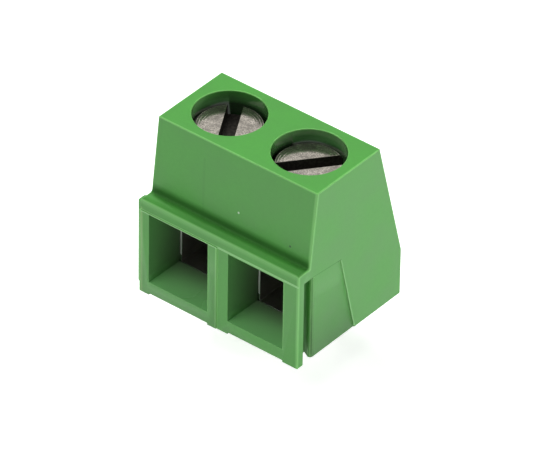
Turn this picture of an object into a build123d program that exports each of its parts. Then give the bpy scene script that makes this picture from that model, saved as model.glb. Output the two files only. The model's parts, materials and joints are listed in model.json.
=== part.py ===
"""Two-way screw terminal block for a printed circuit board, 5 mm pitch.

One green moulding holds two rising-cage clamps. A captive slotted screw sits in
each round well. Its thread pulls a steel cage up, and the cage presses the wire
against a fixed current bar, which ends below in a solder tail.

Millimetres. Z is up from the board, X runs along the row of clamps, and the
wires enter from -Y. The origin is on the board, midway between the solder tails.
"""

from build123d import *
import os

os.makedirs("parts", exist_ok=True)

# Row of clamps
pitch = 5.0
ways = 2
sliding_gap = 0.06
seat_gap = 0.03

# Rising cage, folded from strip
cage_inner_width = 3.56
cage_wall = 0.34
cage_floor = 0.5
cage_depth = 2.94
cage_roof = 1.0
cage_seam_width = 0.05
cage_seam_depth = 0.12
cage_rest_height = 0.25
cage_corner = 0.35
cage_travel = 2.4
closed_gap = 0.1

# Current bar with its solder tail
bar_thickness = 0.6
bar_width = 2.8
bar_bend = 0.25
bar_nose = 0.3
tail_width = 0.8
tail_length = 2.5
tail_point = 0.2
tail_shoulder_height = 0.6
grip_groove_width = 0.24
grip_groove_depth = 0.1
grip_grooves = 3

# Clamp screw
thread_diameter = 2.42
thread_gap = 0.05
head_diameter = 3.6
head_gap = 0.09
head_height = 1.2
head_chamfer = 0.13
head_recess = 0.72
neck_diameter = 2.1
neck_height = 0.3
tip_chamfer = 0.25
slot_width = 0.8
slot_depth = 0.65
slot_angles = (119.5, 51.3)

# Moulded housing
well_rim = 0.05
shoulder = 0.5
shank_hole_diameter = 2.6
top_wall_front = 0.57
top_wall_back = 0.51
rear_wall = 2.18
rear_upright = 2.71
ledge_height = 5.63
ledge_depth = 0.88
ledge_fillet = 0.14
edge_radius = 0.06
plate_height = 5.0
plate_thickness = 0.49
plate_overhang = 0.05
band_setback = 0.06
cell_step = 0.05
cell_step_inset = 0.12
foot_relief = 0.1

# Wire entries
left_post = 0.58
right_post = 0.67
entry_sill = 0.78
entry_lip = 0.05
funnel_depth = 2.33
funnel_end_height = 2.05
funnel_taper = 0.04

# Tongue and groove that join blocks side by side
groove_depth = 0.61
groove_width = 0.68
groove_wall = 0.33
groove_lead_in = 0.36
groove_round = 0.18
joint_gap = 0.06
tongue_foot = 0.05
side_recess = 0.06
recess_top_depth = 3.35
recess_top_height = 4.8
recess_bottom_depth = 4.53

# Heights that follow from the clamp's stack
cage_floor_top = cage_rest_height + cage_floor
bar_bottom = cage_floor_top + cage_travel + closed_gap
bar_top = bar_bottom + bar_thickness
cage_roof_bottom = bar_top + closed_gap
cage_top = cage_roof_bottom + cage_roof
chamber_top = cage_top + cage_travel + closed_gap
well_floor = chamber_top + shoulder
head_bottom = well_floor + seat_gap
head_top = head_bottom + head_height
block_height = head_top + head_recess

# Widths
block_width = pitch * ways
cage_outer_width = cage_inner_width + 2 * cage_wall
chamber_width = cage_outer_width + 2 * sliding_gap
well_diameter = head_diameter + 2 * head_gap
groove_post = groove_depth + groove_wall
nose_front = funnel_depth - bar_nose
tongue_width = groove_width - 2 * joint_gap
tongue_reach = plate_overhang + groove_depth - joint_gap
tongue_front = plate_thickness + joint_gap
groove_back = plate_thickness + groove_width

# Depths behind the front face
chamber_depth = cage_depth + 2 * sliding_gap
chamber_back = funnel_depth + chamber_depth
clamp_depth = funnel_depth + chamber_depth / 2
slot_back = chamber_back + bar_thickness + seat_gap
tail_depth = chamber_back + bar_thickness / 2
block_depth = slot_back + rear_wall
top_front = clamp_depth - well_diameter / 2 - top_wall_front
top_back = clamp_depth + well_diameter / 2 + top_wall_back


def y_at(depth):
    """Y of a place that lies this far behind the front face."""
    return depth - tail_depth


def clamp_x(way):
    """X of one clamp's axis, counted from the left."""
    return (way - (ways - 1) / 2) * pitch


# Housing: one moulding
with BuildPart() as housing:
    with BuildSketch(Plane.YZ.offset(-block_width / 2)):
        with BuildLine():
            Polyline(
                (y_at(0), 0),
                (y_at(block_depth), 0),
                (y_at(block_depth), rear_upright),
                (y_at(top_back), block_height),
                (y_at(top_front), block_height),
                (y_at(ledge_depth), ledge_height),
                (y_at(0), ledge_height),
                close=True,
            )
        make_face()
    extrude(amount=block_width)

    # Soft moulded edges, and the rounded foot of the leaning front wall
    along_row = housing.edges().filter_by(Axis.X)
    ledge_foot = along_row.sort_by_distance((0, y_at(ledge_depth), ledge_height))[0]
    fillet(ledge_foot, ledge_fillet)
    sides = housing.faces().sort_by(Axis.X)
    side_outlines = sides[0].edges() + sides[-1].edges()
    raised_outlines = side_outlines.filter_by(lambda edge: edge.center().Z > edge_radius)
    top_edges = housing.faces().sort_by(Axis.Z)[-1].edges().filter_by(Axis.X)
    back_break = housing.edges().filter_by(Axis.X).sort_by_distance(
        (0, y_at(block_depth), rear_upright)
    )[0]
    ledge_edge = housing.edges().filter_by(Axis.X).sort_by_distance((0, y_at(0), ledge_height))[0]
    fillet(raised_outlines + top_edges + [back_break, ledge_edge], edge_radius)

    # The band above the wire entries stands a little behind the front plate,
    # and each cell's plate steps back from the one on its left
    with BuildSketch(Plane.XZ.offset(-y_at(0))):
        with Locations((0, plate_height)):
            Rectangle(block_width, block_height, align=(Align.CENTER, Align.MIN))
    extrude(amount=-band_setback, mode=Mode.SUBTRACT)
    for way in range(1, ways):
        step_left = clamp_x(way) - pitch / 2 - cell_step_inset
        with BuildSketch(Plane.XZ.offset(-y_at(0))):
            with Locations((step_left, 0)):
                Rectangle(block_width, plate_height, align=Align.MIN)
        extrude(amount=-cell_step * way, mode=Mode.SUBTRACT)

    # On the left the front plate runs a little past the body
    with BuildSketch(Plane.XZ.offset(-y_at(0))):
        with Locations((-block_width / 2, 0)):
            Rectangle(2 * plate_overhang, plate_height, align=(Align.CENTER, Align.MIN))
    extrude(amount=-plate_thickness)
    plate_corner = housing.edges().filter_by(Axis.Z).group_by(Axis.X)[0].sort_by(Axis.Y)[0]
    fillet(plate_corner, min(edge_radius, 0.9 * plate_overhang))

    # Right side: shallow recess, and the groove with a rounded back edge and a tapered lead-in
    with BuildSketch(Plane.YZ.offset(block_width / 2)):
        with BuildLine():
            Polyline(
                (y_at(plate_thickness), 0),
                (y_at(recess_bottom_depth), 0),
                (y_at(recess_top_depth), recess_top_height),
                (y_at(groove_back), plate_height),
                (y_at(plate_thickness), plate_height),
                close=True,
            )
        make_face()
    extrude(amount=-side_recess, mode=Mode.SUBTRACT)
    with BuildSketch(Plane.XY):
        with Locations((block_width / 2, y_at(plate_thickness))):
            Rectangle(groove_depth, groove_width, align=(Align.MAX, Align.MIN))
    extrude(amount=plate_height, mode=Mode.SUBTRACT)
    groove_edge = housing.edges().filter_by(Axis.Z).sort_by_distance(
        (block_width / 2 - side_recess, y_at(groove_back), plate_height / 2)
    )[0]
    fillet(groove_edge, groove_round)
    groove_floor_x = block_width / 2 - groove_depth
    with BuildSketch(Plane.XZ.offset(-y_at(groove_back))):
        with BuildLine():
            Polyline(
                (groove_floor_x, 0),
                (groove_floor_x + groove_lead_in, 0),
                (groove_floor_x, groove_lead_in),
                close=True,
            )
        make_face()
    extrude(amount=-groove_lead_in, mode=Mode.SUBTRACT)

    # Left side: the tongue that slides into the next block's groove
    with BuildSketch(Plane.XY.offset(tongue_foot)):
        with Locations((-block_width / 2, y_at(tongue_front))):
            Rectangle(2 * tongue_reach, tongue_width, align=(Align.CENTER, Align.MIN))
    extrude(amount=plate_height - tongue_foot)
    tongue_tips = housing.edges().filter_by(Axis.Z).group_by(Axis.X)[0]
    chamfer(tongue_tips, joint_gap)

    for way in range(ways):
        x = clamp_x(way)
        has_groove = way == ways - 1
        entry_left = x - pitch / 2 + left_post
        entry_right = x + pitch / 2 - (groove_post if has_groove else right_post)

        # Wire funnel, tapering to the cage under a thin lip of the front plate
        entry_middle = (entry_left + entry_right) / 2
        entry_width = entry_right - entry_left
        entry_height = plate_height - entry_lip - entry_sill
        with BuildSketch(Plane.XZ.offset(-y_at(0))):
            with Locations((entry_middle, entry_sill)):
                Rectangle(entry_width, entry_height, align=(Align.CENTER, Align.MIN))
        with BuildSketch(Plane.XZ.offset(-y_at(funnel_depth))):
            with Locations((entry_middle, entry_sill)):
                Rectangle(
                    entry_width - 2 * funnel_taper,
                    funnel_end_height,
                    align=(Align.CENTER, Align.MIN),
                )
        loft(mode=Mode.SUBTRACT)

        # Cage chamber, open below, and the contact's slot behind it
        with BuildSketch(Plane.XY):
            with Locations((x, y_at(funnel_depth))):
                Rectangle(chamber_width, chamber_depth, align=(Align.CENTER, Align.MIN))
        extrude(amount=chamber_top, mode=Mode.SUBTRACT)
        with BuildSketch(Plane.XY):
            with Locations((x, y_at(chamber_back))):
                Rectangle(
                    bar_width + 2 * seat_gap,
                    bar_thickness + seat_gap,
                    align=(Align.CENTER, Align.MIN),
                )
        extrude(amount=bar_top + seat_gap, mode=Mode.SUBTRACT)

        # Pocket in the funnel's roof that holds the bar's nose
        nose_pocket_front = nose_front - seat_gap
        nose_pocket_foot = bar_bottom - seat_gap
        with BuildSketch(Plane.XY.offset(nose_pocket_foot)):
            with Locations((x, y_at(nose_pocket_front))):
                Rectangle(
                    bar_width + 2 * seat_gap,
                    bar_nose + seat_gap,
                    align=(Align.CENTER, Align.MIN),
                )
        extrude(amount=bar_top + seat_gap - nose_pocket_foot, mode=Mode.SUBTRACT)

        # Screw well with its shoulder
        with Locations((x, y_at(clamp_depth), block_height)):
            CounterBoreHole(
                radius=shank_hole_diameter / 2,
                counter_bore_radius=well_diameter / 2,
                counter_bore_depth=block_height - well_floor,
                depth=block_height - chamber_top,
            )

        # Relief under the sill, between the posts
        with BuildSketch(Plane.XZ.offset(-y_at(0))):
            with Locations((entry_middle, 0)):
                Rectangle(entry_width, foot_relief, align=(Align.CENTER, Align.MIN))
        extrude(amount=-plate_thickness, mode=Mode.SUBTRACT)

    well_rims = housing.faces().sort_by(Axis.Z)[-1].inner_wires().edges()
    chamfer(well_rims, well_rim)

housing.part.label = "housing"
export_step(housing.part, "parts/housing.step")

for way in range(ways):
    x = clamp_x(way)

    # Captive clamp screw, turned, with a driver slot across its head
    with BuildPart() as screw:
        with BuildSketch(Plane.XZ):
            with BuildLine():
                thread_radius = thread_diameter / 2
                tip_height = bar_top + closed_gap
                Polyline(
                    (0, tip_height),
                    (thread_radius - tip_chamfer, tip_height),
                    (thread_radius, tip_height + tip_chamfer),
                    (thread_radius, head_bottom - neck_height),
                    (neck_diameter / 2, head_bottom - neck_height),
                    (neck_diameter / 2, head_bottom),
                    (head_diameter / 2, head_bottom),
                    (head_diameter / 2, head_top - head_chamfer),
                    (head_diameter / 2 - head_chamfer, head_top),
                    (0, head_top),
                    close=True,
                )
            make_face()
        revolve(axis=Axis.Z)
        with BuildSketch(Plane.XY.offset(head_top)):
            Rectangle(2 * head_diameter, slot_width, rotation=slot_angles[way % len(slot_angles)])
        extrude(amount=-slot_depth, mode=Mode.SUBTRACT)
    screw_node = f"clamp_screw_{way + 1}"
    screw.part.position = (x, y_at(clamp_depth), 0)
    screw.part.label = screw_node
    export_step(screw.part, f"parts/{screw_node}.step")

    # Rising cage: a folded ring whose thick roof, two layers of strip, carries the thread
    with BuildPart() as cage:
        cage_front = y_at(funnel_depth + sliding_gap)
        with BuildSketch(Plane.XZ.offset(-cage_front)):
            with Locations((x, cage_rest_height)):
                RectangleRounded(
                    cage_outer_width,
                    cage_top - cage_rest_height,
                    cage_corner,
                    align=(Align.CENTER, Align.MIN),
                )
            with Locations((x, cage_floor_top)):
                Rectangle(
                    cage_inner_width,
                    cage_roof_bottom - cage_floor_top,
                    align=(Align.CENTER, Align.MIN),
                    mode=Mode.SUBTRACT,
                )
            with Locations((x + cage_outer_width / 2, cage_roof_bottom + cage_roof / 2)):
                Rectangle(2 * cage_seam_depth, cage_seam_width, mode=Mode.SUBTRACT)
        extrude(amount=-cage_depth)
        with Locations((x, y_at(clamp_depth), cage_top)):
            Hole(radius=thread_diameter / 2 + thread_gap, depth=cage_top - cage_roof_bottom)
    cage_node = f"clamp_cage_{way + 1}"
    cage.part.label = cage_node
    export_step(cage.part, f"parts/{cage_node}.step")

    # Contact: a bent strip, current bar above, solder tail below
    with BuildPart() as contact:
        with BuildSketch(Plane.YZ.offset(x - bar_width / 2)):
            with BuildLine():
                Polyline(
                    (y_at(nose_front), bar_bottom),
                    (y_at(chamber_back), bar_bottom),
                    (y_at(chamber_back), -tail_length),
                    (y_at(chamber_back + bar_thickness), -tail_length),
                    (y_at(chamber_back + bar_thickness), bar_top),
                    (y_at(nose_front), bar_top),
                    close=True,
                )
            make_face()
        extrude(amount=bar_width)
        bends = contact.edges().filter_by(Axis.X)
        inner_bend = bends.sort_by_distance((x, y_at(chamber_back), bar_bottom))[0]
        outer_bend = bends.sort_by_distance((x, y_at(chamber_back + bar_thickness), bar_top))[0]
        fillet(inner_bend, bar_bend)
        fillet(outer_bend, bar_bend + bar_thickness / 2)

        # The strip narrows to the tail above the board
        for side in (-1, 1):
            with BuildSketch(Plane.XZ.offset(-y_at(chamber_back))):
                with Locations((x + side * tail_width / 2, tail_shoulder_height)):
                    Rectangle(
                        bar_width,
                        2 * tail_length,
                        align=(Align.MIN if side > 0 else Align.MAX, Align.MAX),
                    )
            extrude(amount=-2 * bar_thickness, mode=Mode.SUBTRACT)
        chamfer(contact.faces().sort_by(Axis.Z)[0].edges(), tail_point)

        # Grip grooves across the bar's underside
        groove_pitch = cage_depth / (grip_grooves + 1)
        for groove in range(grip_grooves):
            groove_front = y_at(funnel_depth + groove_pitch * (groove + 1))
            with BuildSketch(Plane.YZ.offset(x - bar_width / 2)):
                with BuildLine():
                    Polyline(
                        (groove_front, bar_bottom),
                        (groove_front + grip_groove_width, bar_bottom),
                        (groove_front + grip_groove_width / 2, bar_bottom + grip_groove_depth),
                        close=True,
                    )
                make_face()
            extrude(amount=bar_width, mode=Mode.SUBTRACT)
    contact_node = f"contact_{way + 1}"
    contact.part.label = contact_node
    export_step(contact.part, f"parts/{contact_node}.step")
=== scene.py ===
"""Looks of the two-way screw terminal block: finishes, threads, small rounds, light and camera.

Metres. The block stands as modelled: Z up from the board, wires enter from -Y.
"""

import json
import math

import bmesh
import bpy
from mathutils import Matrix, Vector


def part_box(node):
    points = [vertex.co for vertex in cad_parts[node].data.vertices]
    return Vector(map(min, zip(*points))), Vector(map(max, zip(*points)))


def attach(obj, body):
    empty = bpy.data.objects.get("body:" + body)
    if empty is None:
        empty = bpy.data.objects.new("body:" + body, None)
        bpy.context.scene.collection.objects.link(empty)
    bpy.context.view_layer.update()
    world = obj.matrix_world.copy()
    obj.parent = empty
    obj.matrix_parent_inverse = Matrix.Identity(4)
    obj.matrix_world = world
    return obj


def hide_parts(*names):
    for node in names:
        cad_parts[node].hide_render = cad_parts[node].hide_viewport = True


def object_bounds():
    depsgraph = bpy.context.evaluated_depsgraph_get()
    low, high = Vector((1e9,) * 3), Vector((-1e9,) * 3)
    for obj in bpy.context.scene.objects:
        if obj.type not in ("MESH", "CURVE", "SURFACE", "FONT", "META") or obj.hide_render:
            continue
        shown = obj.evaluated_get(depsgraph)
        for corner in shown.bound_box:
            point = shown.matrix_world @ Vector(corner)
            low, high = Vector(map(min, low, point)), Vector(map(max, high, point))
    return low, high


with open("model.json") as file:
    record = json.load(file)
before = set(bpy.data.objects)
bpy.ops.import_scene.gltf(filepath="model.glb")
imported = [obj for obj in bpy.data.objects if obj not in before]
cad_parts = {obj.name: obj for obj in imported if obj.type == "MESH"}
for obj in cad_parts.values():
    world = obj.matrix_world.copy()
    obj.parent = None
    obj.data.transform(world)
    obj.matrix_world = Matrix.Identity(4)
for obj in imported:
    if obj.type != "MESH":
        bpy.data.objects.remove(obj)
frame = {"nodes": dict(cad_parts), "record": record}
cad_low, cad_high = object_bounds()

# A millimetre, the slack allowed where two places are compared, and the block's two clamps
MM = 0.001
HAIR = 0.004 * MM
WAYS = (1, 2)

# Housing: its box and the places of its openings, from the frame
HOUSING_LOW, HOUSING_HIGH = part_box("housing")
FRONT_Y = HOUSING_LOW.y
TOP_Z = HOUSING_HIGH.z
PLACES = {mount["name"]: Vector(mount["pos_m"]) for mount in frame["record"]["mounts"]}

# Housing: width of the band along rims and outer edges, and of the faces that are thin edges
RIM_BAND = 0.09 * MM
THIN_STRIP = 0.09 * MM

# Housing: the reach of its wells and funnels
WELL_RADIUS = 1.89 * MM
WELL_FLOOR = 7.95 * MM
FUNNEL_DEPTH = 2.4 * MM
FUNNEL_REACH = 1.95 * MM
FUNNEL_TOP = 5.2 * MM
FUNNEL_SILL = 0.7 * MM

# Front wall between ledge and top: it leans back from its foot (distance from the front, height)
WALL_FOOT = (0.88 * MM, 5.63 * MM)
WALL_FOOT_REACH = 0.3 * MM
WALL_TOP = (1.40 * MM, TOP_Z)
WALL_LEAN = (WALL_TOP[0] - WALL_FOOT[0]) / (WALL_TOP[1] - WALL_FOOT[1])

# Height of the painted highlight on the upper part of the band over the wire entries
BAND_SHINE = 0.32 * MM

# Screws: a fine right-hand thread cut into the plain shank
THREAD_PITCH = 0.45 * MM
THREAD_DEPTH = 0.24 * MM
THREAD_CREST = 0.12
THREAD_RADIUS = 1.21 * MM
THREAD_RUN_OUT = 0.7 * THREAD_PITCH
TIP_CHAMFER = 0.25 * MM
NECK_RADIUS = 1.05 * MM
NECK_HEIGHT = 0.3 * MM
HEAD_HEIGHT = 1.2 * MM
HEAD_CHAMFER = 0.13 * MM
SLOT_WIDTH = 0.8 * MM
SLOT_DEPTH = 0.65 * MM
SLOT_ANGLES = {1: math.radians(119.5), 2: math.radians(51.3)}
SLOT_ROUND = 0.03 * MM
HEAD_GROOVES = ((1.64 * MM, 7.0), (1.50 * MM, 3.0), (1.34 * MM, 1.5))
HEAD_GROOVE_HALF = 0.045 * MM
SCREW_SEGMENTS = 96
RINGS_PER_PITCH = 12

# Cages and contacts
STRIP_ROUND = 0.05 * MM
CONTACT_ROUND = 0.6 * STRIP_ROUND
CAGE_WALL = 0.34 * MM

# Picture: where the photograph was taken from
VIEW_AZIMUTH = math.radians(38.588)
VIEW_ELEVATION = math.radians(36.790)
VIEW_ROLL = math.radians(0.9035)
VIEW_DISTANCE = 349.82 * MM
VIEW_TARGET = Vector((0.0, FRONT_Y + 4.0 * MM, 5.0 * MM))
VIEW_SHIFT_RIGHT = -0.0008 * MM
VIEW_SHIFT_UP = 0.6700 * MM
LENS = 473.73
SENSOR = 36.0

# Light: azimuth from the front (-Y) towards the right (+X), elevation, spread, strength
SOFT_LIGHTS = {
    "back_left_card": (240, 48, 34, 2.40),
    "right_card": (132, 12, 34, 2.10),
    "front_card": (0, 60, 34, 0.95),
    "left_card": (312, 28, 34, 0.55),
}
AMBIENT = 0.02
CARD_AZIMUTH = math.radians(218)
CARD_ELEVATION = math.radians(37)
CARD_EDGE = math.radians(60)
CARD_CORE = math.radians(25)
CARD_GLOSS = 0.75
ROOM_GLOSS = 0.45

# Table: it touches the tails' points and is lifted to white for camera and gloss
TABLE_Z = cad_low.z
TABLE_GLOW = 0.67
TABLE_GLOSS = 0.7


class Nodes:
    """A node tree under construction."""

    def __init__(self, tree):
        self.tree = tree

    def node(self, kind, sockets=(), **settings):
        """Adds a node, sets its properties, and fills or links its sockets."""
        made = self.tree.nodes.new(kind)
        for name, value in settings.items():
            setattr(made, name, value)
        for name, value in dict(sockets).items():
            if isinstance(value, bpy.types.NodeSocket):
                self.tree.links.new(value, made.inputs[name])
            else:
                made.inputs[name].default_value = value
        return made

    def math(self, operation, a, b=0.0):
        """One sum on two values."""
        return self.node("ShaderNodeMath", {0: a, 1: b}, operation=operation).outputs[0]


class Finish(Nodes):
    """A procedural finish under construction, with patterns on Object coordinates."""

    def __init__(self, name, base_color, roughness, metallic=0.0):
        self.material = bpy.data.materials.new(name)
        self.material.use_nodes = True
        super().__init__(self.material.node_tree)
        self.shader = next(n for n in self.tree.nodes if n.type == "BSDF_PRINCIPLED")
        self.shader.inputs["Base Color"].default_value = (*base_color, 1)
        self.shader.inputs["Roughness"].default_value = roughness
        self.shader.inputs["Metallic"].default_value = metallic
        self.place = self.node("ShaderNodeTexCoord").outputs["Object"]

    def axes(self):
        """The X, Y and Z of each place."""
        return self.node("ShaderNodeSeparateXYZ", {"Vector": self.place}).outputs

    def noise(self, scale, detail=3.0, roughness=0.5, vector=None):
        """Noise of that many waves to the metre."""
        made = self.node("ShaderNodeTexNoise", {
            "Vector": vector or self.place, "Scale": scale, "Detail": detail,
            "Roughness": roughness,
        })
        return made.outputs["Fac"]

    def vector(self, operation, a, b=(0, 0, 0)):
        """One sum on two places."""
        return self.node("ShaderNodeVectorMath", {0: a, 1: b}, operation=operation)

    def mix(self, factor, a, b):
        """From colour a to colour b."""
        made = self.node("ShaderNodeMix", {0: factor, 6: a, 7: b}, data_type="RGBA")
        return made.outputs[2]

    def span(self, value, low, high, to_low=0.0, to_high=1.0):
        """Maps low..high to a new range, clamped."""
        made = self.node("ShaderNodeMapRange", {
            "Value": value, "From Min": low, "From Max": high,
            "To Min": to_low, "To Max": to_high,
        })
        return made.outputs["Result"]

    def spot(self, point, radius):
        """1 at a place on the piece, 0 past that radius."""
        away = self.vector("DISTANCE", self.place, tuple(point)).outputs["Value"]
        return self.span(away, radius * 0.5, radius, 1.0, 0.0)

    def near_line(self, start, end, near, far, strength):
        """That strength within `near` of the line from start to end, 0 past `far`."""
        start, end = Vector(start), Vector(end)
        way = (end - start).normalized()
        arm = self.vector("SUBTRACT", self.place, tuple(start)).outputs["Vector"]
        along = self.vector("DOT_PRODUCT", arm, tuple(way)).outputs["Value"]
        held = self.math("MAXIMUM", self.math("MINIMUM", along, (end - start).length), 0.0)
        foot = self.node("ShaderNodeVectorMath", {0: tuple(way), "Scale": held}, operation="SCALE")
        gap = self.vector("DISTANCE", arm, foot.outputs["Vector"]).outputs["Value"]
        return self.span(gap, near, far, strength, 0.0)

    def near_any(self, lines):
        """The strongest of several lines at each place."""
        strongest = self.near_line(*lines[0])
        for line in lines[1:]:
            strongest = self.math("MAXIMUM", strongest, self.near_line(*line))
        return strongest

    def bump(self, height, depth, strength=1.0):
        """A relief of that depth in the surface."""
        made = self.node("ShaderNodeBump", {
            "Strength": strength, "Distance": depth, "Height": height,
        })
        self.link(made.outputs["Normal"], "Normal")

    def link(self, value, socket):
        """Feeds one of the shader's sockets."""
        self.tree.links.new(value, self.shader.inputs[socket])

    def paint(self, amount, color, factor=1.0):
        """Lays a colour over the finish so far, by that amount at each place."""
        under = self.shader.inputs["Base Color"].links[0].from_socket
        self.link(self.mix(amount, under, shade(color, factor)), "Base Color")


def shade(color, factor=1.0):
    """The same hue, lighter or darker, as a node colour."""
    return (*(channel * factor for channel in color), 1)


# Finishes

GREEN = (0.079, 0.350, 0.054)
# Greyer, paler funnel green: a painted sheen
FUNNEL_SHEEN_GREEN = (0.145, 0.395, 0.125)
# Painted highlights: outer edges, the left edge, and the recess's edge with the entry step
EDGE_HIGHLIGHT_GREEN = (0.205, 0.590, 0.150)
YELLOW_GREEN = (0.330, 0.600, 0.200)
STEP_HIGHLIGHT_GREEN = (0.340, 0.700, 0.290)
# Dark well green: a painted shade
SHADED_WELL_GREEN = (0.056, 0.175, 0.048)
# Painted shade for the inner corners
CORNER_SHADE = (0.012, 0.040, 0.012)
DARK_MARK = (0.02, 0.09, 0.02)
BRIGHT_MARK = (0.62, 0.80, 0.58)
# Painted shade at the funnels' back, painted light on their floors' front
FUNNEL_BACK_SHADE = (0.130, 0.165, 0.110)
FUNNEL_FRONT_LIGHT = (0.27, 0.72, 0.25)
# Painted shade beside the screw heads
HEAD_SHADE = (0.010, 0.025, 0.010)

SCREW_STEEL = (0.76, 0.70, 0.61)
# Painted shade in the driver slots
SLOT_SHADE_STEEL = (0.060, 0.052, 0.045)
STRIP_STEEL = (0.93, 0.93, 0.91)
# Painted reflection on the cages' front uprights
GLEAM_STEEL = (0.95, 0.95, 0.93)
# Painted shade inside the cages
INSIDE_SHADE_STEEL = (0.34, 0.32, 0.30)
TINNED_STEEL = (0.60, 0.58, 0.54)


def front_wall_point(x, z):
    """The place on the leaning front wall at that x and z."""
    return Vector((x, FRONT_Y + WALL_FOOT[0] + (z - WALL_FOOT[1]) * WALL_LEAN, z))


def moulded_green(name, color, roughness, grain_depth):
    """Polyamide as it leaves the mould: faint flow clouds and a fine grain."""
    finish = Finish(name, color, roughness)
    finish.shader.inputs["IOR"].default_value = 1.5
    clouds = finish.span(finish.noise(420, detail=4.0), 0.35, 0.65)
    tone = finish.mix(clouds, shade(color, 0.95), shade(color, 1.05))
    fine = finish.span(finish.noise(6500, detail=2.0), 0.4, 0.6)
    tone = finish.mix(finish.math("MULTIPLY", fine, 0.14), tone, shade(color, 0.82))
    finish.link(tone, "Base Color")
    finish.link(finish.span(clouds, 0.0, 1.0, roughness * 0.9, roughness * 1.1), "Roughness")
    finish.bump(finish.noise(9000, detail=2.0), grain_depth, 0.6)
    return finish


def front_point(x, depth, z):
    """A place on the housing in millimetres: across, back from the front, up."""
    return Vector((x * MM, FRONT_Y + depth * MM, z * MM))


def edge_line(start, end, near, far, strength):
    """A painted line, in millimetres: its two ends, its inner and outer reach, and its strength."""
    return front_point(*start), front_point(*end), near * MM, far * MM, strength


def edge_highlight_lines():
    """Outer edges that get a painted highlight, as for thin plastic letting light through."""
    top = TOP_Z / MM
    foot, head = WALL_FOOT[0] / MM, WALL_TOP[0] / MM
    ledge = WALL_FOOT[1] / MM
    return [
        # Right edges, from the front plate up over the ledge to the top
        edge_line((4.98, 0.05, 0), (4.98, 0.05, 5.0), 0.03, 0.14, 0.9),
        edge_line((4.98, 0.06, 5.0), (4.98, 0.06, ledge), 0.03, 0.14, 0.9),
        edge_line((5, 0.06, ledge), (5, foot, ledge), 0.03, 0.12, 0.7),
        edge_line((5, foot, ledge), (5, head, top), 0.05, 0.17, 1.0),
        edge_line((5, head, top), (5, 5.8, top), 0.02, 0.08, 0.5),
        # Front edges of the top and the ledge
        edge_line((-5, head, top), (5, head, top), 0.03, 0.09, 0.6),
        edge_line((-5, 0.06, ledge), (5, 0.06, ledge), 0.04, 0.10, 0.8),
        # Step between the two entries, then each entry's right edge and its sill
        edge_line((-0.12, 0, 0), (-0.12, 0, 5.0), 0.06, 0.11, 1.0),
        edge_line((-0.67, 0, 0.8), (-0.67, 0, 4.95), 0.02, 0.08, 0.5),
        edge_line((4.06, 0.05, 0.8), (4.06, 0.05, 4.95), 0.02, 0.08, 0.6),
        edge_line((-4.42, 0, 0.78), (-0.67, 0, 0.78), 0.02, 0.06, 0.4),
        edge_line((0.58, 0.05, 0.78), (4.06, 0.05, 0.78), 0.02, 0.06, 0.4),
    ]


def step_highlight_lines():
    """The recess's back edge and the step over the wire entries, with a nearly white painted
    highlight.
    """
    return [
        edge_line((4.96, 3.37, 4.72), (4.96, 4.53, 0.1), 0.055, 0.08, 0.5),
        edge_line((-5.0, 0.02, 5.0), (-0.12, 0.02, 5.0), 0.045, 0.09, 0.9),
        edge_line((-0.12, 0.05, 5.0), (4.95, 0.05, 5.0), 0.035, 0.08, 0.9),
    ]


def inner_corners(finish, across):
    """Corners that get painted shade: the wall's foot, the groove, the recess."""
    foot, above = WALL_FOOT[0] / MM, WALL_FOOT[1] / MM + 0.15
    wall_foot = finish.near_line(*edge_line((-5, foot, above), (5, foot, above), 0.08, 0.42, 0.55))
    inside = finish.span(finish.math("ABSOLUTE", across), 4.90 * MM, 4.96 * MM, 1.0, 0.0)
    others = finish.near_any([
        edge_line((4.58, 0.8, -0.2), (4.58, 0.8, 4.9), 0.24, 0.42, 0.88),
        edge_line((5, 1.17, 5.0), (5, 3.35, 4.8), 0.02, 0.05, 0.35),
    ])
    return finish.math("MAXIMUM", finish.math("MULTIPLY", wall_foot, inside), others)


def outer_green():
    """The outer faces: painted edge highlights, painted corner shade, small marks on the front
    wall.
    """
    finish = moulded_green("satin_green", GREEN, 0.42, 0.004 * MM)
    axes = finish.axes()
    # Painted highlights on the outer edges and on the band's upper part
    band_highlight = finish.math(
        "MULTIPLY",
        finish.span(axes["Z"], WALL_FOOT[1] - BAND_SHINE, WALL_FOOT[1] - 0.4 * BAND_SHINE, 0, 0.4),
        finish.span(axes["Y"], FRONT_Y + 0.09 * MM, FRONT_Y + 0.13 * MM, 1.0, 0.0),
    )
    pale = finish.math("MAXIMUM", finish.near_any(edge_highlight_lines()), band_highlight)
    finish.paint(pale, EDGE_HIGHLIGHT_GREEN)
    # Painted highlight along the left edge, yellower, as where light shines through thin plastic
    left = edge_line((-5.05, 0.05, 0), (-5.05, 0.05, 4.95), 0.06, 0.28, 0.95)
    finish.paint(finish.near_line(*left), YELLOW_GREEN)
    # Painted highlight, nearly white, on the recess's back edge and the step over the entries
    finish.paint(finish.near_any(step_highlight_lines()), STEP_HIGHLIGHT_GREEN)
    # Painted shade in the inner corners, with the gloss lowered there too
    corners = inner_corners(finish, axes["X"])
    finish.paint(corners, CORNER_SHADE)
    finish.link(finish.span(corners, 0.0, 0.6, 0.5, 0.08), "Specular IOR Level")
    seam = finish.near_line(front_wall_point(-1.95 * MM, 8.85 * MM),
                            front_wall_point(-1.75 * MM, 6.0 * MM), 0.02 * MM, 0.10 * MM, 0.10)
    finish.paint(seam, DARK_MARK)
    finish.paint(finish.spot(front_wall_point(0.418 * MM, 6.81 * MM), 0.07 * MM), BRIGHT_MARK)
    finish.paint(finish.spot(front_wall_point(3.703 * MM, 6.375 * MM), 0.08 * MM), DARK_MARK)
    return finish


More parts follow.
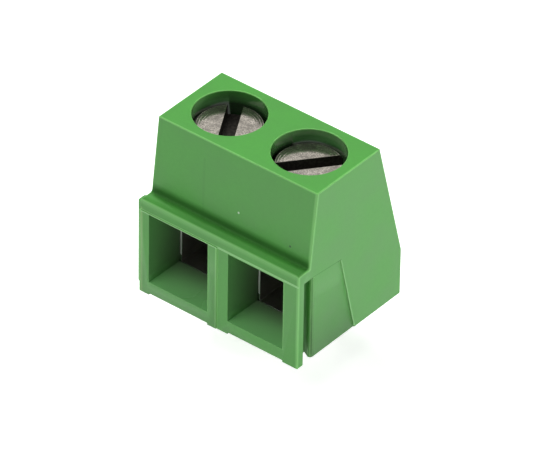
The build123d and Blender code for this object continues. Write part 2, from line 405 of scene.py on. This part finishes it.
def funnel_green():
    """The wire funnels: greyer for painted sheen, painted shade towards the cage, painted light at
    the floor's front.
    """
    finish = moulded_green("funnel_green", FUNNEL_SHEEN_GREEN, 0.3, 0.001 * MM)
    axes = finish.axes()
    # Painted shade, deeper towards the cage
    depth = finish.span(axes["Y"], FRONT_Y + 0.1 * MM, FRONT_Y + FUNNEL_DEPTH, 0.0, 1.0)
    finish.paint(finish.math("MULTIPLY", depth, 0.8), FUNNEL_BACK_SHADE)
    # Painted light on the floor's front
    floor = finish.span(axes["Z"], 0.8 * MM, 1.3 * MM, 0.45, 0.0)
    front_floor_light = finish.math("MULTIPLY", floor, finish.math("SUBTRACT", 1.0, depth))
    finish.paint(front_floor_light, FUNNEL_FRONT_LIGHT)
    return finish


def polished_green():
    """The screw wells: polished walls in a dark shaded green, painted light near the rim, painted
    shade by the head.
    """
    finish = moulded_green("polished_green", SHADED_WELL_GREEN, 0.2, 0.0005 * MM)
    height = finish.axes()["Z"]
    # Painted light on the wall near the rim
    finish.paint(finish.span(height, TOP_Z - 0.42 * MM, TOP_Z - 0.04 * MM, 0.0, 0.7), GREEN, 0.95)
    # Painted shade on the wall beside the head
    head_top = PLACES["driver_slot_1"].z
    painted_head_shade = finish.span(height, head_top - 0.05 * MM, head_top + 0.2 * MM, 0.85, 0.0)
    finish.paint(painted_head_shade, HEAD_SHADE)
    finish.shader.inputs["Coat Weight"].default_value = 0.8
    finish.shader.inputs["Coat Roughness"].default_value = 0.04
    finish.shader.inputs["Coat IOR"].default_value = 1.6
    return finish


def plated_steel(name, color, roughness, grain_scale, grain_depth):
    """Plated strip, with the faint long grain of rolling."""
    finish = Finish(name, color, roughness, metallic=1.0)
    stretched = finish.node("ShaderNodeMapping", {"Vector": finish.place, "Scale": (1, 0.06, 1)})
    grain = finish.noise(grain_scale, detail=4.0, vector=stretched.outputs["Vector"])
    finish.link(finish.span(grain, 0.3, 0.7, roughness * 0.8, roughness * 1.25), "Roughness")
    tone = finish.span(finish.noise(700, detail=3.0), 0.35, 0.65)
    finish.link(finish.mix(tone, shade(color, 0.9), shade(color, 1.05)), "Base Color")
    finish.bump(grain, grain_depth, 0.5)
    return finish


def turned_steel(name, axis_x, axis_y):
    """A turned and plated screw: the facing tool's rings, painted reflection streaks across them,
    dull patches.
    """
    finish = Finish(name, SCREW_STEEL, 0.2, metallic=1.0)
    flat = finish.vector("MULTIPLY", finish.place, (1, 1, 0)).outputs["Vector"]
    arm = finish.vector("SUBTRACT", flat, (axis_x, axis_y, 0)).outputs["Vector"]
    radius = finish.vector("LENGTH", arm).outputs["Value"]
    spoke = finish.vector("NORMALIZE", arm).outputs["Vector"]
    ring_place = finish.node("ShaderNodeCombineXYZ", {"X": radius}).outputs["Vector"]
    rings = finish.noise(15000, detail=2.0, vector=ring_place)
    along = finish.node("ShaderNodeCombineXYZ", {"Z": finish.math("MULTIPLY", radius, 500)})
    stroke_place = finish.vector("ADD", spoke, along.outputs["Vector"]).outputs["Vector"]
    strokes = finish.noise(24, detail=4.0, roughness=0.65, vector=stroke_place)
    grit = finish.noise(9000, detail=4.0, roughness=0.65)
    relief = finish.math("ADD", finish.math("MULTIPLY", rings, 0.5),
                         finish.math("MULTIPLY", grit, 0.25))
    for groove_radius, depth in HEAD_GROOVES:
        away = finish.math("ABSOLUTE", finish.math("SUBTRACT", radius, groove_radius))
        relief = finish.math("SUBTRACT", relief, finish.span(away, 0, HEAD_GROOVE_HALF, depth, 0))
    finish.bump(relief, 0.002 * MM, 0.8)
    # Painted reflection streaks across the rings, lighter and smoother, broken by random dull
    # patches
    patches = finish.span(finish.noise(2200, detail=5.0, roughness=0.7), 0.36, 0.6)
    painted_gleam = finish.math("MULTIPLY", finish.span(strokes, 0.40, 0.58), patches)
    tone = finish.mix(painted_gleam, shade(SCREW_STEEL, 0.42), shade(SCREW_STEEL, 1.14))
    finish.link(tone, "Base Color")
    finish.link(finish.span(painted_gleam, 0.0, 1.0, 0.20, 0.09), "Roughness")
    return finish


def shaded_slot_steel():
    """The sawn slot: rough, and painted nearly black for the shade inside it."""
    finish = Finish("sawn_slot", SLOT_SHADE_STEEL, 0.6, metallic=0.6)
    grit = finish.noise(8000, detail=3.0)
    slot_mottle = finish.span(grit, 0.4, 0.6)
    finish.link(finish.mix(slot_mottle, shade(SLOT_SHADE_STEEL, 0.6), shade(SLOT_SHADE_STEEL, 1.2)), "Base Color")
    finish.bump(grit, 0.004 * MM, 0.6)
    return finish


# Meshes

def merged_copy(node):
    """A copy of a CAD node's mesh with its loose triangles merged into flat faces."""
    shape = bmesh.new()
    shape.from_mesh(frame["nodes"][node].data)
    bmesh.ops.remove_doubles(shape, verts=shape.verts, dist=1e-7)
    bmesh.ops.dissolve_limit(shape, angle_limit=math.radians(0.5), verts=shape.verts,
                             edges=shape.edges)
    return shape


def sharp_edges(shape, angle, keep=lambda edge: True):
    """Edges whose two faces turn by more than the angle."""
    return [
        edge for edge in shape.edges
        if len(edge.link_faces) == 2 and edge.calc_face_angle(0) > angle and keep(edge)
    ]


def soften(shape, edges, width, segments=2):
    """Rounds the edges by a small true radius."""
    bmesh.ops.bevel(shape, geom=edges, offset=width, offset_type="OFFSET", segments=segments,
                    profile=0.5, affect="EDGES", clamp_overlap=True)


def plain_object(name, shape):
    """A helper object from a shape."""
    mesh = bpy.data.meshes.new(name)
    shape.to_mesh(mesh)
    shape.free()
    made = bpy.data.objects.new(name, mesh)
    bpy.context.scene.collection.objects.link(made)
    return made


def evaluated_mesh(made):
    """The object's mesh with its modifiers taken up."""
    bpy.context.view_layer.update()
    return bpy.data.meshes.new_from_object(
        made.evaluated_get(bpy.context.evaluated_depsgraph_get())
    )


def even_normals(piece):
    """Lets the large flats keep their own direction beside the small rounds."""
    even = piece.modifiers.new("even normals", "WEIGHTED_NORMAL")
    even.mode = "FACE_AREA"
    even.weight = 100
    even.keep_sharp = True
    mesh = evaluated_mesh(piece)
    piece.modifiers.clear()
    piece.data = mesh
    mesh.name = piece.name


def as_piece(name, shape, finishes, body, nodes, choose=lambda face: 0):
    """Turns a shape into the object that stands for those CAD nodes."""
    bmesh.ops.recalc_face_normals(shape, faces=shape.faces)
    shape.normal_update()
    for face in shape.faces:
        face.smooth = True
        face.material_index = choose(face)
    mesh = bpy.data.meshes.new(name)
    shape.to_mesh(mesh)
    shape.free()
    mesh.set_sharp_from_angle(angle=math.radians(40))
    for finish in finishes:
        mesh.materials.append(finish.material)
    piece = bpy.data.objects.new(name, mesh)
    bpy.context.scene.collection.objects.link(piece)
    even_normals(piece)
    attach(piece, body)
    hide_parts(*nodes)
    return piece


# Housing

def is_thin_strip(face):
    """True for the narrow faces along outward edges, which take the paler painted-highlight finish.
    """
    longest = max(edge.calc_length() for edge in face.edges)
    if face.calc_area() / longest > THIN_STRIP:
        return False
    return any(
        len(edge.link_faces) == 2 and edge.is_convex
        and edge.calc_length() > 0.5 * longest and edge.calc_face_angle(0) > math.radians(5)
        for edge in face.edges
    )


def is_in_well(middle):
    """True for a place on the walls or floor of a screw well."""
    if not WELL_FLOOR - HAIR < middle.z < TOP_Z - RIM_BAND:
        return False
    arms = (middle - PLACES[f"driver_slot_{way}"] for way in WAYS)
    return any(math.hypot(arm.x, arm.y) < WELL_RADIUS + HAIR for arm in arms)


def is_in_funnel(middle):
    """True for a place on the walls of a wire funnel."""
    if not FUNNEL_SILL < middle.z < FUNNEL_TOP:
        return False
    arms = (middle - PLACES[f"wire_entry_{way}"] for way in WAYS)
    return any(abs(arm.x) < FUNNEL_REACH and RIM_BAND < arm.y < FUNNEL_DEPTH for arm in arms)


def housing_finish(face):
    """Which of the housing's finishes a face takes: outer, painted edge highlight, funnel or well.
    """
    middle = face.calc_center_median()
    if is_in_well(middle):
        return 3
    if is_in_funnel(middle):
        return 2
    from_foot = math.hypot(middle.y - FRONT_Y - WALL_FOOT[0], middle.z - WALL_FOOT[1])
    if from_foot < WALL_FOOT_REACH and middle.x < HOUSING_HIGH.x - RIM_BAND:
        return 0
    return 1 if is_thin_strip(face) else 0


def make_housing():
    """The green moulding. Its rounded edges are the solid's own."""
    shape = merged_copy("housing")
    finishes = [
        outer_green(),
        # Paler green on the narrow edge faces: a painted highlight
        moulded_green("thin_edge_green", EDGE_HIGHLIGHT_GREEN, 0.34, 0.002 * MM),
        funnel_green(),
        polished_green(),
    ]
    return as_piece("housing_moulding", shape, finishes, "block", ["housing"],
                    housing_finish)


# Screws

class Builder(Nodes):
    """A geometry tree under construction, with named inputs."""

    def __init__(self, name):
        super().__init__(bpy.data.node_groups.new(name, "GeometryNodeTree"))
        self.tree.interface.new_socket("Geometry", in_out="OUTPUT",
                                       socket_type="NodeSocketGeometry")
        self.entry = self.tree.nodes.new("NodeGroupInput")

    def size(self, name, kind="NodeSocketFloat"):
        """Adds a named input and gives its socket."""
        self.tree.interface.new_socket(name, in_out="INPUT", socket_type=kind)
        return self.entry.outputs[name]

    def share(self, value, whole):
        """Value over whole, held between 0 and 1."""
        made = self.node("ShaderNodeMath", {0: value, 1: whole}, operation="DIVIDE",
                         use_clamp=True)
        return made.outputs[0]

    def finish(self, geometry, material):
        """Ends the tree with a plain mesh in its material."""
        solid = self.node("GeometryNodeRealizeInstances", {"Geometry": geometry})
        dressed = self.node("GeometryNodeSetMaterial",
                            {"Geometry": solid.outputs["Geometry"], "Material": material})
        exit_node = self.tree.nodes.new("NodeGroupOutput")
        self.tree.links.new(dressed.outputs["Geometry"], exit_node.inputs["Geometry"])
        return self.tree


def thread_tree():
    """A threaded rod that stands on its tip: a cylinder whose points follow a helical groove."""
    build = Builder("turned_thread")
    around = build.size("Points Around", "NodeSocketInt")
    rings = build.size("Rings", "NodeSocketInt")
    radius = build.size("Radius")
    length = build.size("Length")
    pitch = build.size("Pitch")
    depth = build.size("Groove Depth")
    crest = build.size("Crest Share")
    chamfer = build.size("Tip Chamfer")
    run_out = build.size("Run Out")
    material = build.size("Material", "NodeSocketMaterial")
    rod = build.node("GeometryNodeMeshCylinder", {
        "Vertices": around, "Side Segments": rings, "Radius": radius, "Depth": length,
    })
    place = build.node("GeometryNodeInputPosition").outputs["Position"]
    axes = build.node("ShaderNodeSeparateXYZ", {"Vector": place}).outputs
    height = build.math("ADD", axes["Z"], build.math("MULTIPLY", length, 0.5))
    turn = build.math("DIVIDE", build.math("ARCTAN2", axes["Y"], axes["X"]), 2 * math.pi)
    phase = build.math("FRACT", build.math("SUBTRACT", build.math("DIVIDE", height, pitch), turn))
    from_crest = build.math("ABSOLUTE", build.math("SUBTRACT", build.math("MULTIPLY", phase, 2), 1))
    flank = build.math("SUBTRACT", build.math("SUBTRACT", 1, from_crest), crest)
    groove = build.share(flank, build.math("SUBTRACT", 1, crest))
    fade = build.share(build.math("SUBTRACT", length, height), run_out)
    cut = build.math("MULTIPLY", depth, build.math("MULTIPLY", groove, fade))
    point = build.math("ADD", build.math("SUBTRACT", radius, chamfer), height)
    outer = build.math("MINIMUM", build.math("SUBTRACT", radius, cut), point)
    scale = build.math("DIVIDE", outer, radius)
    moved = build.node("ShaderNodeCombineXYZ", {
        "X": build.math("MULTIPLY", axes["X"], scale),
        "Y": build.math("MULTIPLY", axes["Y"], scale),
        "Z": height,
    })
    threaded = build.node("GeometryNodeSetPosition", {
        "Geometry": rod.outputs["Mesh"], "Position": moved.outputs["Vector"],
    })
    return build.finish(threaded.outputs["Geometry"], material)


def grown(name, tree, values):
    """The plain mesh that a geometry tree makes from these named inputs."""
    carrier = plain_object(name, bmesh.new())
    grow = carrier.modifiers.new(name, "NODES")
    grow.node_group = tree
    for socket in tree.interface.items_tree:
        if socket.in_out == "INPUT":
            grow[socket.identifier] = values[socket.name]
    mesh = evaluated_mesh(carrier)
    shape = bmesh.new()
    shape.from_mesh(mesh)
    bpy.data.objects.remove(carrier)
    return shape


def turn_of(vertex):
    """Number of a ring's point, counted round the axis."""
    turn = math.atan2(vertex.co.y, vertex.co.x) / (2 * math.pi)
    return round(turn * SCREW_SEGMENTS) % SCREW_SEGMENTS


def ring(shape, radius, height):
    """One ring of a turned form round the axis."""
    turns = (2 * math.pi * i / SCREW_SEGMENTS for i in range(SCREW_SEGMENTS))
    return [
        shape.verts.new((radius * math.cos(turn), radius * math.sin(turn), height))
        for turn in turns
    ]


def turned_screw(way, tree, material):
    """The screw's body: the threaded shank, then neck and head as rings above it."""
    low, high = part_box(f"clamp_screw_{way}")
    head_radius = (high.x - low.x) / 2
    length = high.z - low.z - HEAD_HEIGHT - NECK_HEIGHT
    shape = grown(f"thread_{way}", tree, {
        "Points Around": SCREW_SEGMENTS, "Rings": round(length / THREAD_PITCH * RINGS_PER_PITCH),
        "Radius": THREAD_RADIUS, "Length": length, "Pitch": THREAD_PITCH,
        "Groove Depth": THREAD_DEPTH, "Crest Share": THREAD_CREST,
        "Tip Chamfer": TIP_CHAMFER, "Run Out": THREAD_RUN_OUT, "Material": material,
    })
    upper = sorted((v for v in shape.verts if v.co.z > length - HAIR), key=turn_of)
    cap = [face for face in shape.faces if all(v in upper for v in face.verts)]
    bmesh.ops.delete(shape, geom=cap, context="FACES_ONLY")
    rings = [upper]
    for radius, height in (
        (NECK_RADIUS, length),
        (NECK_RADIUS, length + NECK_HEIGHT),
        (head_radius, length + NECK_HEIGHT),
        (head_radius, high.z - low.z - HEAD_CHAMFER),
        (head_radius - HEAD_CHAMFER, high.z - low.z),
    ):
        rings.append(ring(shape, radius, height))
    for below, above in zip(rings, rings[1:]):
        for i in range(SCREW_SEGMENTS):
            j = (i + 1) % SCREW_SEGMENTS
            shape.faces.new((below[i], below[j], above[j], above[i]))
    shape.faces.new(rings[-1])
    centre = (low + high) / 2
    bmesh.ops.translate(shape, verts=shape.verts, vec=(centre.x, centre.y, low.z))
    return shape, Vector((centre.x, centre.y, high.z)), head_radius


def cut_slot(shape, top, length, angle):
    """Saws the driver slot across the head."""
    saw = bmesh.new()
    bmesh.ops.create_cube(saw, size=1.0, matrix=(
        Matrix.Translation(top)
        @ Matrix.Rotation(angle, 4, "Z")
        @ Matrix.Diagonal((length, SLOT_WIDTH, 2 * SLOT_DEPTH, 1))
    ))
    blank = plain_object("screw_blank", shape)
    blade = plain_object("slot_saw", saw)
    cut = blank.modifiers.new("slot", "BOOLEAN")
    cut.operation = "DIFFERENCE"
    cut.solver = "EXACT"
    cut.object = blade
    result = bmesh.new()
    result.from_mesh(evaluated_mesh(blank))
    for scrap in (blank, blade):
        bpy.data.objects.remove(scrap)
    return result


def make_screw(way, tree, slot_shade_finish):
    """One clamp screw with its thread and slot."""
    low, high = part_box(f"clamp_screw_{way}")
    centre = (low + high) / 2
    finish = turned_steel(f"turned_screw_{way}", centre.x, centre.y)
    shape, top, head_radius = turned_screw(way, tree, finish.material)
    shape = cut_slot(shape, top, 4 * head_radius, SLOT_ANGLES[way])
    head_floor = top.z - HEAD_HEIGHT - NECK_HEIGHT / 2
    edges = sharp_edges(shape, math.radians(30),
                        keep=lambda edge: min(v.co.z for v in edge.verts) > head_floor)
    soften(shape, edges, SLOT_ROUND)
    across = Vector((-math.sin(SLOT_ANGLES[way]), math.cos(SLOT_ANGLES[way]), 0))

    def in_slot(face):
        away = face.calc_center_median() - top
        deep = SLOT_ROUND < -away.z < SLOT_DEPTH + HAIR
        return int(deep and abs(away.dot(across)) < SLOT_WIDTH / 2 + HAIR)

    return as_piece(f"slotted_screw_{way}", shape, [finish, slot_shade_finish], f"screw_{way}",
                    [f"clamp_screw_{way}"], in_slot)


# Cages and contacts

def strip_steel(way, low, high):
    """The cage's plated strip, with a pale painted reflection along the front's two inner uprights.
    """
    finish = plated_steel(f"plated_strip_{way}", STRIP_STEEL, 0.12, 3000, 0.0005 * MM)
    # Painted reflection, pale and less metallic, on the front's two inner uprights
    uprights = [
        (Vector((x, low.y, low.z + MM)), Vector((x, low.y, high.z - MM)), 0.07 * MM, 0.11 * MM, 1.0)
        for x in (low.x + CAGE_WALL, high.x - CAGE_WALL)
    ]
    painted_gleam = finish.near_any(uprights)
    finish.paint(painted_gleam, GLEAM_STEEL)
    finish.link(finish.span(painted_gleam, 0.0, 1.0, 1.0, 0.15), "Metallic")
    return finish


def make_cage(way, inside_shade_finish):
    """One rising cage: its inside painted darker for shade, its edges rounded by a hair where there
    is room.
    """
    low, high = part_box(f"clamp_cage_{way}")
    shape = merged_copy(f"clamp_cage_{way}")
    soften(shape, sharp_edges(shape, math.radians(40)), STRIP_ROUND)
    finishes = [strip_steel(way, low, high), inside_shade_finish]

    # Faces inside the cage take the darker finish, a painted shade
    def is_inner(face):
        middle = face.calc_center_median()
        inset = min(middle.x - low.x, high.x - middle.x)
        return int(inset > 0.9 * CAGE_WALL and low.z + CAGE_WALL < middle.z < high.z - CAGE_WALL
                   and middle.y > low.y + STRIP_ROUND)

    return as_piece(f"rising_cage_{way}", shape, finishes, f"cage_{way}",
                    [f"clamp_cage_{way}"], is_inner)


def make_contact(way, finish):
    """One contact strip with its tail."""
    shape = merged_copy(f"contact_{way}")
    soften(shape, sharp_edges(shape, math.radians(40)), CONTACT_ROUND)
    return as_piece(f"contact_strip_{way}", shape, [finish], "block",
                    [f"contact_{way}"])


# Stage, light and camera

def direction(azimuth, elevation):
    """The way towards a light: azimuth 0 is the front, 90 degrees the right."""
    return Vector((
        math.sin(azimuth) * math.cos(elevation),
        -math.cos(azimuth) * math.cos(elevation),
        math.sin(elevation),
    ))


def pale_table():
    """The table's finish: white, and lifted to the white background for camera and gloss."""
    finish = Finish("pale_table", (0.8, 0.8, 0.8), 0.9)
    finish.shader.inputs["Specular IOR Level"].default_value = 0.0
    sees = finish.node("ShaderNodeLightPath")
    seen = finish.math("ADD", sees.outputs["Is Camera Ray"], sees.outputs["Is Transmission Ray"])
    glow = finish.math("ADD", finish.math("MULTIPLY", seen, TABLE_GLOW),
                       finish.math("MULTIPLY", sees.outputs["Is Glossy Ray"], TABLE_GLOSS))
    finish.shader.inputs["Emission Color"].default_value = (1, 1, 1, 1)
    finish.link(glow, "Emission Strength")
    return finish


def make_floor(size=3.0):
    """A plain pale table under the tails' points."""
    shape = bmesh.new()
    bmesh.ops.create_grid(shape, x_segments=1, y_segments=1, size=size / 2,
                          matrix=Matrix.Translation((0, 0, TABLE_Z)))
    floor = plain_object("table", shape)
    floor.data.materials.append(pale_table().material)


def make_world():
    """Dim surroundings for the light, white for the camera, a pale card at the back for gloss."""
    world = bpy.data.worlds.new("studio")
    bpy.context.scene.world = world
    world.use_nodes = True
    build = Nodes(world.node_tree)
    back = next(n for n in build.tree.nodes if n.type == "BACKGROUND")
    back.inputs["Color"].default_value = (1, 1, 1, 1)
    sees = build.node("ShaderNodeLightPath").outputs
    way = build.node("ShaderNodeTexCoord").outputs["Generated"]
    facing = build.node("ShaderNodeVectorMath", {
        0: way, 1: direction(CARD_AZIMUTH, CARD_ELEVATION),
    }, operation="DOT_PRODUCT")
    card = build.node("ShaderNodeMapRange", {
        "Value": facing.outputs["Value"],
        "From Min": math.cos(CARD_EDGE), "From Max": math.cos(CARD_CORE),
        "To Min": ROOM_GLOSS, "To Max": CARD_GLOSS,
    }, interpolation_type="SMOOTHSTEP")
    level = AMBIENT
    for ray, seen in (
        ("Is Glossy Ray", card.outputs["Result"]),
        ("Is Transmission Ray", 1.0),
        ("Is Camera Ray", 1.0),
    ):
        level = build.node("ShaderNodeMix", {0: sees[ray], 2: level, 3: seen}).outputs[0]
    build.tree.links.new(level, back.inputs["Strength"])


def soft_light(name, azimuth, elevation, spread, strength):
    """A wide soft lamp far off, which lights the block and isn't mirrored in it."""
    lamp = bpy.data.lights.new(name, "SUN")
    lamp.angle = math.radians(spread)
    lamp.energy = strength
    made = bpy.data.objects.new(name, lamp)
    bpy.context.scene.collection.objects.link(made)
    toward = direction(math.radians(azimuth), math.radians(elevation))
    made.rotation_euler = toward.to_track_quat("Z", "Y").to_euler()
    made.visible_glossy = False


def make_camera():
    """The photograph's viewpoint, far off and through a long lens."""
    back = direction(VIEW_AZIMUTH, VIEW_ELEVATION)
    level_right = Vector((math.cos(VIEW_AZIMUTH), math.sin(VIEW_AZIMUTH), 0))
    level_up = back.cross(level_right)
    right = math.cos(VIEW_ROLL) * level_right + math.sin(VIEW_ROLL) * level_up
    up = math.cos(VIEW_ROLL) * level_up - math.sin(VIEW_ROLL) * level_right
    lens = bpy.data.cameras.new("viewpoint")
    lens.sensor_width = SENSOR
    lens.lens = LENS
    lens.clip_start = 0.01
    lens.clip_end = 10.0
    camera = bpy.data.objects.new("viewpoint", lens)
    bpy.context.scene.collection.objects.link(camera)
    place = VIEW_TARGET + back * VIEW_DISTANCE - right * VIEW_SHIFT_RIGHT - up * VIEW_SHIFT_UP
    turn = Matrix((right, up, back)).transposed().to_4x4()
    camera.matrix_world = Matrix.Translation(place) @ turn
    bpy.context.scene.camera = camera


make_camera()
make_housing()
thread = thread_tree()
# Painted shade: the slots' finish and the cages' inside finish
slot_shade_finish = shaded_slot_steel()
inside_shade_finish = plated_steel("dull_strip_inside", INSIDE_SHADE_STEEL, 0.5, 3000, 0.001 * MM)
contact_finish = plated_steel("tinned_strip", TINNED_STEEL, 0.34, 2200, 0.001 * MM)
for way in WAYS:
    make_screw(way, thread, slot_shade_finish)
    make_cage(way, inside_shade_finish)
    make_contact(way, contact_finish)
make_floor()
make_world()
for name, (azimuth, elevation, spread, strength) in SOFT_LIGHTS.items():
    soft_light(name, azimuth, elevation, spread, strength)
bpy.context.scene.view_settings.view_transform = "Standard"
